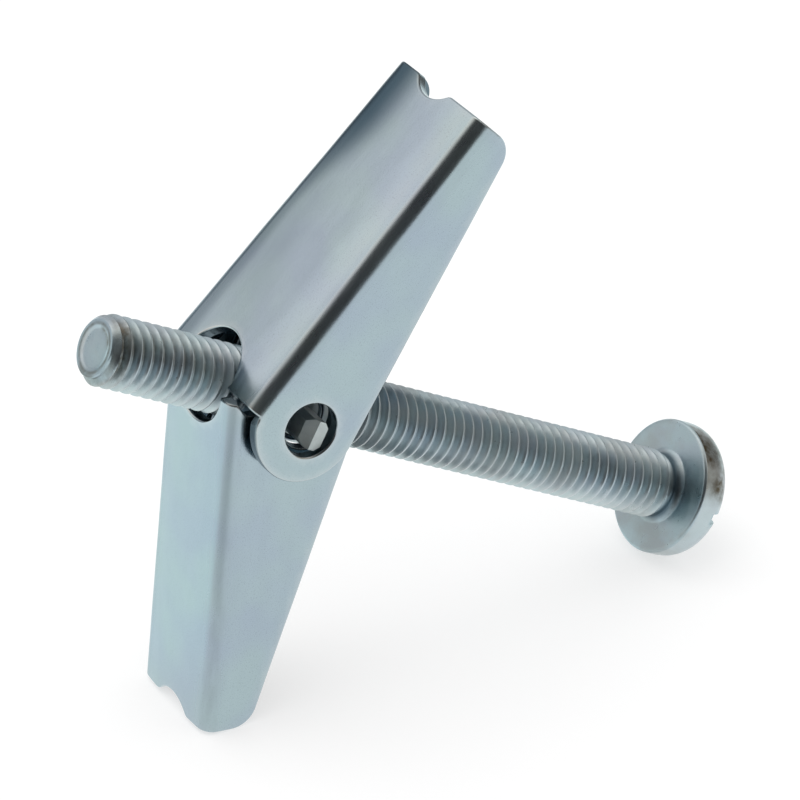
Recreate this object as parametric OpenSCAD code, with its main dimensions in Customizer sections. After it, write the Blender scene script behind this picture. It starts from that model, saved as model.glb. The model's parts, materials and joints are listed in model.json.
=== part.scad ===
// Spring toggle bolt: a slotted machine screw, a trunnion nut with two lugs,
// two folded sheet wings that swing on the nut's lugs, and one torsion spring.
// The assembly is drawn with the screw along X and its head at +X, and then
// stands on the tip of the inner wing and the rim of the screw's head.

/* [Screw] */
// Major diameter of the thread
thread_d = 5.9; // [5.8:0.01:6]
// Length under the head
screw_length = 60; // [50:0.5:80]
// Distance from the nut's centre to the screw's tip
tip_reach = 18; // [12:0.5:22]
// Depth of the thread's grooves
thread_depth = 0.5; // [0.4:0.05:0.6]
// Distance between the rings that stand for the thread, two of its turns
ring_step = 2; // [2:0.05:2.4]
// Diameter of the flat at the end of the chamfered tip
tip_flat_d = 4.7; // [4:0.1:5]
// Width of the ring round the dished end
tip_ring = 0.4; // [0.2:0.05:0.6]
// Depth of the dish in the end
tip_dish = 0.2; // [0.1:0.05:0.4]
// Diameter of the pan head
head_d = 11.7; // [11:0.1:12.5]
// Height of the pan head
head_h = 3.4; // [3.2:0.1:3.8]
// Radius of the head's crown edge
head_round = 2; // [1.6:0.1:2.2]
// Chamfer of the head's edge at its bearing face
head_edge = 0.25; // [0.1:0.05:0.4]
// Diameter of the fillet where it meets the head
neck_d = 6.5; // [6.2:0.1:7]
// Height of the fillet under the head
neck_h = 0.6; // [0.3:0.1:1]
// Width of the driver slot
slot_w = 1; // [0.8:0.1:1.2]
// Depth of the driver slot
slot_depth = 1.5; // [1.2:0.1:1.8]

/* [Trunnion nut] */
// Thickness of the nut's plate, along the screw
plate_t = 2.3; // [2:0.05:2.4]
// Radius of the plate's round middle
disc_r = 3.8; // [3.6:0.05:3.85]
// Radius of the collar drawn out towards the screw's head
collar_r = 3.6; // [3.4:0.05:3.65]
// Length of the collar beyond the plate
collar_length = 2; // [1:0.1:3]
// Radial running clearance between the nut and the screw
thread_clearance = 0.06; // [0.03:0.01:0.09]
// Chamfer round each mouth of the threaded hole
mouth_chamfer = 0.3; // [0.2:0.05:0.35]
// Thickness of a lug, along the screw
lug_t = 1.7; // [1.6:0.05:1.8]
// Height of a lug
lug_h = 2.5; // [2.3:0.05:2.6]
// Distance that a lug's middle lies below the screw's, towards the inner wing
lug_drop = 0.45; // [0.2:0.05:0.5]
// Chamfer along a lug's edges
lug_chamfer = 0.45; // [0.4:0.05:0.55]
// Distance that a lug's end lies inside the outer ear's face
lug_recess = 0.4; // [0.2:0.1:0.8]
// Length of the bevel on a lug's end
lug_bevel = 0.9; // [0.6:0.1:1.2]
// Width of the flat left on a lug's end
lug_face = 1; // [0.8:0.1:1.1]

/* [Wings] */
// Thickness of the sheet
sheet = 1; // [0.9:0.05:1.05]
// Outer radius of the folds
fold_r = 1.25; // [1.2:0.05:1.4]
// Diameter of the ear holes
ear_hole_d = 4.6; // [4.5:0.05:4.7]
// Gap between the outer ears and the inner ears
ear_gap = 0.95; // [0.8:0.05:1.1]
// Radius of the notches that clear the screw
screw_notch_r = 3.75; // [3.6:0.05:3.8]
// Depth of the notch in each wing's tip
tip_notch_depth = 1.1; // [0.6:0.1:1.4]
// Radius of the notch in each wing's tip
tip_notch_r = 3.2; // [2.8:0.1:3.6]
// Radius of the shoulders beside the tip notch
shoulder_r = 0.8; // [0.5:0.1:1]

/* [Outer wing] */
// Lean of the open wing from square to the screw
outer_lean = 17.9; // [16:0.1:22]
// Distance from the hinge to the wing's tip
outer_length = 27.4; // [25:0.1:30]
// Distance from the hinge to the web's outer face
outer_web = 5.6; // [5.55:0.05:5.7]
// Distance that the web runs on past the hinge
outer_tail = 1.6; // [1.4:0.05:1.7]
// Angle between the two side flanges and the wing's centre line
outer_splay = 2.1; // [1.5:0.1:2.5]
// Angle between the flanges' free edge and the web
outer_taper = 11.8; // [10:0.1:13]
// Radius of the round end of an ear
outer_ear_r = 4.65; // [4.5:0.05:4.8]
// Distance from the ear hole to the centre of the ear's round end
outer_ear_shift = 0.35; // [0.2:0.05:0.5]
// Radius of the flanges' corner at the wing's tip
outer_corner_r = 2; // [1.5:0.1:2.4]
// Distance from the nut's centre to this wing's ear holes, towards the tip
outer_hinge_shift = 0.85; // [0.7:0.05:0.95]

/* [Inner wing] */
// Lean of the open wing from square to the screw
inner_lean = 22.2; // [20:0.1:24]
// Distance from the hinge to the wing's tip
inner_length = 27.5; // [25:0.1:30]
// Distance from the hinge to the web's outer face
inner_web = 7.3; // [7.3:0.05:7.5]
// Distance that the web runs on past the hinge
inner_tail = 2.55; // [2.4:0.05:2.6]
// Width of the wing over its flanges
inner_width = 11.2; // [11.1:0.05:11.4]
// Angle between the flanges' free edge and the web
inner_taper = 15.8; // [14:0.1:17]
// Radius of the round end of an ear
inner_ear_r = 4.25; // [4:0.05:4.3]
// Distance that the ears' edge runs level before it tapers
inner_level = 2.1; // [1.8:0.1:2.4]
// Distance that the flanges' end is cut back from the web's end
inner_cutback = 1.05; // [0.9:0.05:1.2]
// Distance from the web's end to the notch's centre
inner_notch_shift = 0.25; // [0.1:0.05:0.4]
// Radius of the flanges' corner at the wing's tip
inner_corner_r = 2.2; // [1.5:0.1:2.6]

/* [Spring] */
// Diameter of the wire
wire_d = 0.5; // [0.4:0.02:0.52]
// Gap between the wire and the metal that it lies against
wire_gap = 0.05; // [0.03:0.01:0.08]
// Distance along the outer wing to the ends of the spring's legs
leg_reach = 8.5; // [6:0.1:12]
// Distance along the inner wing to the spring's bridge
bridge_reach = 9; // [7:0.1:12]
// Radius of the bends beside the bridge
bridge_bend = 0.9; // [0.6:0.1:1.4]

/* [Hidden] */
$fn = 96;
zinc = [0.72, 0.76, 0.79];
pale_zinc = [0.79, 0.83, 0.86];
yellow_zinc = [0.78, 0.76, 0.68];
wire_steel = [0.55, 0.57, 0.6];
// Overrun of a cut past the face that it goes through
past = 1;
// Steps of the spring's sweep
wire_sides = 8;
coil_steps = 30;
bend_steps = 4;

// Half widths across the nut and the two nested wings
inner_half = inner_width / 2;
outer_half = inner_half + ear_gap + sheet;
lug_end = outer_half - lug_recess;
hole_r = ear_hole_d / 2;

// The screw along X, from the nut's centre
head_x = screw_length - tip_reach;
head_r = head_d / 2;
tip_r = tip_flat_d / 2;

// A wing is drawn with its web flat on top: X runs from the hinge to the tip,
// Y is the hinge, and Z is square to the web. Points [x, z] of its side view:
function edge_foot(ear_r, shift, taper) = [ear_r * sin(taper), shift - ear_r * cos(taper)];
function edge_z(foot, taper, x) = foot[1] + (x - foot[0]) * tan(taper);
outer_foot = edge_foot(outer_ear_r, outer_ear_shift, outer_taper);
inner_foot = [inner_level, -inner_ear_r];
outer_corner = [
    outer_length - outer_corner_r,
    edge_z(outer_foot, outer_taper, outer_length - outer_corner_r) + outer_corner_r / cos(outer_taper)
];
inner_corner = [
    inner_length - inner_corner_r,
    edge_z(inner_foot, inner_taper, inner_length - inner_corner_r) + inner_corner_r / cos(inner_taper)
];

// From a wing's side view to the screw's side view [x, z]; side is 1 or -1
function swung(p, lean, side, hinge_x) = [
    hinge_x + p[0] * sin(lean) - p[1] * cos(lean),
    side * (p[0] * cos(lean) + p[1] * sin(lean))
];

// The stand: the corner of the inner wing and the crown of the head touch the
// floor together when the whole part leans by this angle about Y.
wing_contact = swung(inner_corner, inner_lean, -1, 0);
head_contact = [head_x + head_h - head_round, -(head_r - head_round)];
contact_run = head_contact[0] - wing_contact[0];
contact_rise = wing_contact[1] - head_contact[1];
stand_angle = asin((inner_corner_r - head_round) / norm([contact_run, contact_rise]))
    - atan2(contact_rise, contact_run);
stand_height = wing_contact[0] * sin(stand_angle) - wing_contact[1] * cos(stand_angle) + inner_corner_r;
left_end = -tip_reach * cos(stand_angle) - tip_r * sin(stand_angle);
right_end = head_contact[0] * cos(stand_angle) - head_contact[1] * sin(stand_angle) + head_round;

// The spring's wire, as points [x, y, z] with the direction that is square to
// the wire in the plane of its coil or of its bridge
wire_r = wire_d / 2;
coil_r = norm([lug_t / 2 - lug_chamfer, lug_h / 2 + lug_drop]) + wire_gap + wire_r;
outer_strand = inner_half - sheet - wire_gap - wire_r;
inner_strand = outer_strand - wire_d - wire_gap;
leg_end = swung([leg_reach, outer_web - sheet - wire_gap - wire_r], outer_lean, 1, -outer_hinge_shift);
bridge_at = swung([bridge_reach, inner_web - sheet - wire_gap - wire_r], inner_lean, -1, 0);
coil_start = atan2(leg_end[1], leg_end[0]) + acos(coil_r / norm(leg_end));
coil_stop = 720 + atan2(bridge_at[1], bridge_at[0]) - acos(coil_r / norm(bridge_at));
bridge_dir = [-sin(coil_stop), cos(coil_stop)];
bridge_out = [cos(coil_stop), 0, sin(coil_stop)];
function coil_point(t) =
    let(a = coil_start + t * (coil_stop - coil_start))
    [coil_r * cos(a), outer_strand + t * (inner_strand - outer_strand), coil_r * sin(a)];
function coil_out(t) =
    let(a = coil_start + t * (coil_stop - coil_start))
    [cos(a), 0, sin(a)];
function bend_point(a) = [
    bridge_at[0] - bridge_bend * (1 - sin(a)) * bridge_dir[0],
    inner_strand - bridge_bend * (1 - cos(a)),
    bridge_at[1] - bridge_bend * (1 - sin(a)) * bridge_dir[1]
];
half_wire = concat(
    [[[leg_end[0], outer_strand, leg_end[1]], coil_out(0)]],
    [for (i = [0:coil_steps]) [coil_point(i / coil_steps), coil_out(i / coil_steps)]],
    [for (i = [0:bend_steps]) [bend_point(90 * i / bend_steps), bridge_out]]
);
function far_side(p) = [[p[0][0], -p[0][1], p[0][2]], p[1]];
wire = concat(half_wire, [for (i = [len(half_wire) - 1:-1:0]) far_side(half_wire[i])]);

function unit(v) = v / norm(v);
function wire_ring(i) =
    let(
        last = len(wire) - 1,
        along = unit(wire[min(i + 1, last)][0] - wire[max(i - 1, 0)][0]),
        out = unit(wire[i][1] - (wire[i][1] * along) * along),
        across = cross(along, out)
    )
    [for (k = [0:wire_sides - 1])
        let(a = 360 * k / wire_sides)
        wire[i][0] + wire_r * (cos(a) * out + sin(a) * across)];

// One side of a folded channel with its web's outer face at z = web; half is
// the outer half width at the hinge, and splay turns the flange inwards.
module half_channel(half, web, splay, length) {
    intersection() {
        translate([0, half, web])
            rotate([0, 0, -splay])
                translate([-length, 0, 0])
                    rotate([90, 0, 90])
                        linear_extrude(3 * length)
                            fold_section(half + 2 * past, 3 * web);
        translate([-length, 0, -3 * web])
            cube([3 * length, 2 * half, 5 * web]);
    }
}

// L-shaped section with a true bend: its two outer faces lie on x = 0 and y = 0
module fold_section(across, depth) {
    translate([-across, -sheet])
        square([across - fold_r, sheet]);
    translate([-sheet, -depth])
        square([sheet, depth - fold_r]);
    translate([-fold_r, -fold_r])
        intersection() {
            difference() {
                circle(fold_r);
                circle(fold_r - sheet);
            }
            square(fold_r);
        }
}

// Side view of a wing: the head of the web, the tapered flange from foot to
// corner, and the corner's round. start holds the points of the hinge end.
module side_view(start, foot, corner, corner_r, taper, length, web) {
    polygon(concat(start, [
        foot,
        corner + corner_r * [sin(taper), -cos(taper)],
        corner,
        [length, corner[1]],
        [length, web + past]
    ]));
    translate(corner)
        circle(corner_r);
}

// Shallow notch with rounded shoulders, across the web's tip
module tip_notch(length) {
    reach = tip_notch_r + shoulder_r;
    half = sqrt(tip_notch_depth * (2 * reach - tip_notch_depth));
    centre = length - tip_notch_depth + tip_notch_r;
    difference() {
        polygon([
            [length + past, -half],
            [length - shoulder_r, -half],
            [centre, 0],
            [length - shoulder_r, half],
            [length + past, half]
        ]);
        for (side = [-1, 1])
            translate([length - shoulder_r, side * half])
                circle(shoulder_r);
    }
    translate([centre, 0])
        circle(tip_notch_r);
}

// A folded wing: the side view cut out of a channel, then the notch for the
// screw at x = notch_x, the notch in the tip, and the ear holes.
module wing(half, web, splay, length, notch_x) {
    difference() {
        intersection() {
            union() {
                half_channel(half, web, splay, length);
                mirror([0, 1, 0])
                    half_channel(half, web, splay, length);
            }
            rotate([90, 0, 0])
                linear_extrude(4 * half, center = true)
                    children();
        }
        translate([notch_x, 0, web - sheet - past])
            cylinder(r = screw_notch_r, h = sheet + 2 * past);
        translate([0, 0, web - sheet - past])
            linear_extrude(sheet + 2 * past)
                tip_notch(length);
        rotate([90, 0, 0])
            cylinder(r = hole_r, h = 4 * half, center = true);
    }
}

module outer_wing_flat() {
    wing(outer_half, outer_web, outer_splay, outer_length, -outer_tail) {
        union() {
            side_view(
                [[-outer_tail, outer_web + past], [-outer_tail, outer_ear_shift], [0, outer_ear_shift]],
                outer_foot, outer_corner, outer_corner_r, outer_taper, outer_length, outer_web
            );
            translate([0, outer_ear_shift])
                circle(outer_ear_r);
        }
    }
}

module inner_wing_flat() {
    cut = inner_cutback - inner_tail;
    shelf = inner_web - fold_r;
    wing(inner_half, inner_web, 0, inner_length, -inner_tail - inner_notch_shift) {
        union() {
            side_view(
                [
                    [-inner_tail, inner_web + past],
                    [-inner_tail, shelf + sheet / 2],
                    [cut, shelf - sheet / 2],
                    [cut, 0],
                    [0, 0],
                    [0, -inner_ear_r]
                ],
                inner_foot, inner_corner, inner_corner_r, inner_taper, inner_length, inner_web
            );
            circle(inner_ear_r);
        }
    }
}

// Leans the whole part onto its stand, with the floor at z = 0
module stand() {
    translate([-(left_end + right_end) / 2, 0, stand_height])
        rotate([0, stand_angle, 0])
            children();
}

// Slotted pan-head screw; rings stand for the thread, at its major diameter
module machine_screw() {
    color(yellow_zinc)
        stand()
            difference() {
                rotate([0, 90, 0])
                    rotate_extrude()
                        screw_profile();
                translate([head_x + head_h - slot_depth, -head_d, -slot_w / 2])
                    cube([slot_depth + past, 2 * head_d, slot_w]);
            }
}

// Half section of the screw: x is the radius, y runs from the tip to the head
module screw_profile() {
    crown_r = head_r - head_round;
    thread_r = thread_d / 2;
    start = thread_r - tip_r - tip_reach;
    rings = floor((head_x - neck_h - start) / ring_step);
    grooves = [
        for (i = [0:rings - 1])
            each [
                [thread_r, start + i * ring_step],
                [thread_r - thread_depth, start + (i + 0.5) * ring_step]
            ]
    ];
    polygon(concat(
        [[0, tip_dish - tip_reach], [tip_r - tip_ring, -tip_reach], [tip_r, -tip_reach]],
        grooves,
        [
            [thread_r, start + rings * ring_step],
            [thread_r, head_x - neck_h],
            [neck_d / 2, head_x],
            [head_r - head_edge, head_x],
            [head_r, head_x + head_edge],
            [head_r, head_x + head_h - head_round],
            [crown_r, head_x + head_h - head_round],
            [crown_r, head_x + head_h],
            [0, head_x + head_h]
        ]
    ));
    translate([crown_r, head_x + head_h - head_round])
        intersection() {
            circle(head_round);
            square(head_round);
        }
}

// Plate nut: a round middle with a drawn collar, and a bevelled lug each side
module trunnion_nut() {
    bore_r = thread_d / 2 + thread_clearance;
    back = plate_t / 2 + collar_length;
    color(pale_zinc)
        stand()
            difference() {
                union() {
                    translate([-plate_t / 2, 0, 0])
                        rotate([0, 90, 0])
                            cylinder(r = disc_r, h = plate_t);
                    rotate([0, 90, 0])
                        cylinder(r = collar_r, h = back);
                    lug();
                    mirror([0, 1, 0])
                        lug();
                }
                translate([-plate_t, 0, 0])
                    rotate([0, 90, 0])
                        cylinder(r = bore_r, h = plate_t + back + past);
                translate([mouth_chamfer - plate_t / 2, 0, 0])
                    rotate([0, -90, 0])
                        cylinder(r1 = bore_r, r2 = bore_r + plate_t, h = plate_t);
                translate([back - mouth_chamfer, 0, 0])
                    rotate([0, 90, 0])
                        cylinder(r1 = bore_r, r2 = bore_r + plate_t, h = plate_t);
            }
}

// One lug, towards +Y: a chamfered bar whose end is bevelled on the tip side
module lug() {
    flat_x = lug_t / 2 - lug_face;
    translate([0, 0, -lug_drop])
        difference() {
            rotate([-90, 0, 0])
                linear_extrude(lug_end)
                    polygon(chamfered_box(lug_t, lug_h, lug_chamfer));
            translate([0, 0, -lug_h])
                linear_extrude(2 * lug_h)
                    polygon([
                        [-lug_t, lug_end + past],
                        [-lug_t, lug_end - lug_bevel],
                        [-lug_t / 2, lug_end - lug_bevel],
                        [flat_x, lug_end],
                        [flat_x, lug_end + past]
                    ]);
        }
}

function chamfered_box(w, h, c) = [
    [w / 2, c - h / 2], [w / 2, h / 2 - c], [w / 2 - c, h / 2], [c - w / 2, h / 2],
    [-w / 2, h / 2 - c], [-w / 2, c - h / 2], [c - w / 2, -h / 2], [w / 2 - c, -h / 2]
];

// Upper wing, folded from sheet; its ears run outside the inner wing's ears
module outer_wing() {
    color(zinc)
        stand()
            translate([-outer_hinge_shift, 0, 0])
                rotate([0, outer_lean - 90, 0])
                    outer_wing_flat();
}

// Lower wing, folded narrower so that it nests between the outer wing's ears
module inner_wing() {
    color(zinc)
        stand()
            mirror([0, 0, 1])
                rotate([0, inner_lean - 90, 0])
                    inner_wing_flat();
}

// Double torsion spring: a leg behind the outer wing's web on each side, one
// turn round each lug, and a bridge behind the inner wing's web
module torsion_spring() {
    rings = len(wire);
    points = [for (i = [0:rings - 1]) each wire_ring(i)];
    walls = [
        for (i = [0:rings - 2])
            for (k = [0:wire_sides - 1])
                let(a = i * wire_sides + k, b = i * wire_sides + (k + 1) % wire_sides)
                [a, b, b + wire_sides, a + wire_sides]
    ];
    first_end = [for (k = [wire_sides - 1:-1:0]) k];
    last_end = [for (k = [0:wire_sides - 1]) (rings - 1) * wire_sides + k];
    color(wire_steel)
        stand()
            polyhedron(points, concat([first_end], walls, [last_end]), convexity = 8);
}

machine_screw();
trunnion_nut();
outer_wing();
inner_wing();
torsion_spring();
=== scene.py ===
# %% [markdown]
# # A spring toggle bolt
# The bolt has five pieces: a machine screw, a stamped nut with two lugs, two
# folded sheet wings that swing on the lugs, and one torsion spring. This
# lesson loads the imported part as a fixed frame, builds each piece again with
# the detail that the solids leave out, and gives every surface a procedural
# zinc finish. Everything is in metres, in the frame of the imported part.

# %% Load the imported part
import json
import math

import bmesh
import bpy
import numpy as np
from mathutils import Matrix, Vector
from mathutils.geometry import delaunay_2d_cdt


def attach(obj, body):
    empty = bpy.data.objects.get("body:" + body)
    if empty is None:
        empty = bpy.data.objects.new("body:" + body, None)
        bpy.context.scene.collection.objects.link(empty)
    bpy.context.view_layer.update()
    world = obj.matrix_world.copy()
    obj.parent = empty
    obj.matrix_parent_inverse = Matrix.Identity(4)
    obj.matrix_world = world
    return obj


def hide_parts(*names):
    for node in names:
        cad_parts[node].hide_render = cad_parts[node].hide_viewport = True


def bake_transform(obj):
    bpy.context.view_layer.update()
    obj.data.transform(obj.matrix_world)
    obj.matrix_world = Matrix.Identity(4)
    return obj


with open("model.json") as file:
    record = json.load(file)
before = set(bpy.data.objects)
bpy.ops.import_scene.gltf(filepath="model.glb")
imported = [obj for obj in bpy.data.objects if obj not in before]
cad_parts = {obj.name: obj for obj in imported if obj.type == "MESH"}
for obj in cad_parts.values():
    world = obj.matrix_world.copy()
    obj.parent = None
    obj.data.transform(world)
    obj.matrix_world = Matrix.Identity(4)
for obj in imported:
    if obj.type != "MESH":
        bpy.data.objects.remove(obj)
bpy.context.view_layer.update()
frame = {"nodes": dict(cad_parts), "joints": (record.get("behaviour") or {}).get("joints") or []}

# %% [markdown]
# ## Three directions and two hinges
# The bolt stands askew on the floor, so its own directions come first: along
# the screw towards the head, across it along the hinges, and upward, square to
# both. The record's joints give the screw's direction and the two hinge
# points. Every size below is in millimetres, and is turned into a point of
# the frame at the last moment.

# %% Directions and hinges
MM = 0.001
joints = {j["name"]: j for j in frame["joints"]}
to_head = np.array(joints["nut_travel"]["axis"], float)
to_head /= np.linalg.norm(to_head)
across = np.array([0.0, 1.0, 0.0])
upward = np.cross(to_head, across)
nut_centre = np.array(joints["inner_fold"]["pos_m"], float)
outer_hinge = np.array(joints["outer_fold"]["pos_m"], float)


def place(x, y, z, origin=nut_centre, along=to_head, out=upward):
    """Points of the frame: origin + x * along + y * across + z * out, with x, y and z in mm."""
    x, y, z = np.broadcast_arrays(x, y, z)
    return origin + MM * (x[..., None] * along + y[..., None] * across + z[..., None] * out)


print("towards the head:", np.round(to_head, 4), "nut centre in mm:", np.round(nut_centre / MM, 2))

# %% [markdown]
# ## From arrays to a piece
# Each piece is a set of points and faces worked out with numpy. One helper
# puts them into a mesh, sets the normals where they are known exactly, and
# hangs the piece on its body. Exact normals matter on bright metal: a
# reflection shows a wrong normal long before the eye sees a wrong point.

# %% Mesh helpers
def quads_of(numbers, closed=False):
    """Quads between the neighbours of a grid of point numbers; closed joins its last column to its first."""
    if closed:
        numbers = np.hstack([numbers, numbers[:, :1]])
    corners = [numbers[:-1, :-1], numbers[:-1, 1:], numbers[1:, 1:], numbers[1:, :-1]]
    return np.stack(corners, axis=-1).reshape(-1, 4)


def new_mesh(name, points, faces, normals=None):
    """A mesh of the points, in metres, and the faces, with a normal for each point if they are given."""
    mesh = bpy.data.meshes.new(name)
    mesh.from_pydata(points.tolist(), [], [list(f) for f in faces])
    mesh.update()
    mesh.shade_smooth()
    if normals is not None:
        mesh.normals_split_custom_set_from_vertices(normals.tolist())
    return mesh


def store(mesh, key, values):
    """Keeps one number for each point of the mesh under the key, for the materials to read."""
    mesh.attributes.new(key, "FLOAT", "POINT").data.foreach_set("value", values.ravel().astype(float))


def new_piece(name, mesh, material):
    """An object at the origin that shows the mesh, with its finish and its material slot."""
    piece = bpy.data.objects.new(name, mesh)
    bpy.context.scene.collection.objects.link(piece)
    mesh.materials.append(material)
    return piece


def tube(path, out, radius, sides=14):
    """A round wire: rings of the radius round each point of the path, in the plane square to the wire.
    out is a direction at each point that is nearly square to the wire. Returns points and faces."""
    ahead = np.gradient(path, axis=0)
    ahead /= np.linalg.norm(ahead, axis=1)[:, None]
    out = out - (out * ahead).sum(1)[:, None] * ahead
    out /= np.linalg.norm(out, axis=1)[:, None]
    side = np.cross(ahead, out)
    turn = np.arange(sides) * 2 * math.pi / sides
    ring = np.cos(turn)[None, :, None] * out[:, None] + np.sin(turn)[None, :, None] * side[:, None]
    points = path[:, None] + radius * ring
    numbers = np.arange(len(path) * sides).reshape(-1, sides)
    faces = quads_of(numbers, closed=True).tolist() + [numbers[0, ::-1].tolist(), numbers[-1].tolist()]
    return points.reshape(-1, 3), faces


print("a grid of 3 by 4 points has", len(quads_of(np.arange(12).reshape(3, 4))), "quads")

# %% [markdown]
# ## Zinc plate
# All the steel is zinc plated. Zinc is a plain blue-grey metal: the
# Principled shader with full metallic, a fairly low roughness, and detail in
# three sizes. Broad soft patches change its tint, as the passivation does, and
# fine streaks and pits from the rolled sheet break up its gloss. The screw's
# plating also has grey blots under a thin film, which are less metallic.

# %% Nodes
def add_node(tree, kind, inputs=None, **settings):
    """A shader node of the tree with its settings and its input values."""
    node = tree.nodes.new("ShaderNode" + kind)
    for key, value in settings.items():
        setattr(node, key, value)
    for key, value in (inputs or {}).items():
        node.inputs[key].default_value = value
    return node


def ramp(tree, source, stops):
    """A colour ramp fed by the source; stops are pairs of a position and a grey or a colour."""
    node = add_node(tree, "ValToRGB")
    elements = node.color_ramp.elements
    while len(elements) < len(stops):
        elements.new(0.5)
    for element, (position, shade) in zip(elements, stops):
        element.position = position
        element.color = (*shade, 1) if isinstance(shade, tuple) else (shade, shade, shade, 1)
    tree.links.new(source, node.inputs["Fac"])
    return node.outputs["Color"]


def mix(tree, kind, amount, first, second):
    """A colour mix; amount, first and second are sockets, numbers or colours."""
    node = add_node(tree, "Mix", data_type="RGBA", blend_type=kind)
    for socket, value in ((node.inputs[0], amount), (node.inputs[6], first), (node.inputs[7], second)):
        if isinstance(value, bpy.types.NodeSocket):
            tree.links.new(value, socket)
        elif isinstance(value, tuple):
            socket.default_value = (*value, 1)
        else:
            socket.default_value = value if socket.type == "VALUE" else (value, value, value, 1)
    return node.outputs[2]


def noise(tree, at, per_mm, detail, roughness):
    """Noise from 0 to 1 at the points, with so many blotches to the millimetre."""
    node = add_node(tree, "TexNoise", {"Scale": per_mm / MM, "Detail": detail, "Roughness": roughness})
    tree.links.new(at, node.inputs["Vector"])
    return node.outputs["Fac"]


def math_node(tree, operation, *terms):
    """A Math node of the terms, which are sockets or numbers."""
    node = add_node(tree, "Math", operation=operation)
    for socket, term in zip(node.inputs, terms):
        if isinstance(term, bpy.types.NodeSocket):
            tree.links.new(term, socket)
        else:
            socket.default_value = term
    return node.outputs["Value"]


print("a noise of 0.5 to the millimetre has blotches about", 1 / 0.5, "mm wide")

# %% [markdown]
# ## Wear and painted light
# Wear follows the shape: an edge is rubbed bright, a brown patina gathers in
# corners, and a fold that the press has worked is rougher. Painted light goes
# with it: a painted highlight lightens the screw's crests and underside, and
# painted shade darkens the inside of a channel, a gap, and the roots and neck
# of the screw. So each piece works out these four values for its own points,
# by a formula on its sizes, and one function reads them in every finish.

# %% Zinc finish
# The colours of rubbed edges and painted highlights, of painted shade, and of the brown patina.
RUBBED_AND_HIGHLIGHT, PAINTED_SHADE, PATINA = (0.62, 0.66, 0.66), (0.05, 0.09, 0.12), (0.10, 0.085, 0.055)
WORKED_ROUGHER = 0.12


def wear_and_painted_light(tree, colour, grain):
    """The colour with rubbed wear and painted highlight, painted shade and an uneven patina over it, thinnest where
    the grain is low.
    """
    rubbed_and_highlight, painted_shade, patina = (
        add_node(tree, "Attribute", attribute_name=key).outputs["Fac"] for key in ("rubbed_and_highlight", "painted_shade", "patina")
    )
    colour = mix(tree, "MIX", rubbed_and_highlight, colour, RUBBED_AND_HIGHLIGHT)
    colour = mix(tree, "MIX", painted_shade, colour, PAINTED_SHADE)
    uneven = ramp(tree, grain, [(0.35, 0.4), (0.6, 1.0)])
    return mix(tree, "MIX", mix(tree, "MULTIPLY", 1.0, uneven, patina), colour, PATINA)


def zinc(
    name, tint, cast, bright, dull, patch_mm, grain_mm, stretch, bump_mm,
    follows=None, flecks=0.55, stain=None, stained=0.0, film=0.0,
):
    """Zinc plate: the tint drifts to the cast in patches, and the roughness runs from bright to dull
    along streaks, which the stretch draws out. Flecks is the strength of the dark pits. A stain is a
    second colour in blots, mixed in by as much as stained, and less metallic there by the film. The
    pattern lies on Object coordinates, or follows a vector that is stored on the points."""
    material = bpy.data.materials.new(name)
    material.use_nodes = True
    tree = material.node_tree
    shader = tree.nodes["Principled BSDF"]
    shader.inputs["Metallic"].default_value = 1.0
    if follows:
        at = add_node(tree, "Attribute", attribute_name=follows).outputs["Vector"]
    else:
        at = add_node(tree, "TexCoord").outputs["Object"]
    streaks = add_node(tree, "Mapping", {"Scale": stretch})
    tree.links.new(at, streaks.inputs["Vector"])
    patches = noise(tree, at, 1 / patch_mm, 2.0, 0.45)
    grain = noise(tree, streaks.outputs["Vector"], 1 / grain_mm, 6.0, 0.6)
    pits = noise(tree, at, 9 / grain_mm, 2.0, 0.5)
    colour = mix(tree, "MIX", ramp(tree, patches, [(0.38, 0.0), (0.64, 1.0)]), tint, cast)
    colour = mix(tree, "MULTIPLY", flecks, colour, ramp(tree, pits, [(0.30, 0.72), (0.42, 1.0)]))
    if stain:
        blots = noise(tree, at, 0.45 / patch_mm, 5.0, 0.6)
        colour = mix(tree, "MIX", ramp(tree, blots, [(0.50, 0.0), (0.62, stained)]), colour, stain)
        bare = ramp(tree, blots, [(0.38, 1.0), (0.62, 1 - film)])
        tree.links.new(bare, shader.inputs["Metallic"])
    tree.links.new(wear_and_painted_light(tree, colour, grain), shader.inputs["Base Color"])
    gloss = add_node(tree, "MapRange", {"From Min": 0.3, "From Max": 0.7, "To Min": bright, "To Max": dull})
    tree.links.new(grain, gloss.inputs["Value"])
    worked = add_node(tree, "Attribute", attribute_name="worked").outputs["Fac"]
    rougher = math_node(tree, "MULTIPLY_ADD", worked, WORKED_ROUGHER, gloss.outputs["Result"])
    tree.links.new(rougher, shader.inputs["Roughness"])
    relief_of = add_node(tree, "Bump", {"Strength": 1.0, "Distance": bump_mm * MM})
    tree.links.new(math_node(tree, "ADD", grain, pits), relief_of.inputs["Height"])
    tree.links.new(relief_of.outputs["Normal"], shader.inputs["Normal"])
    return material


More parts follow.
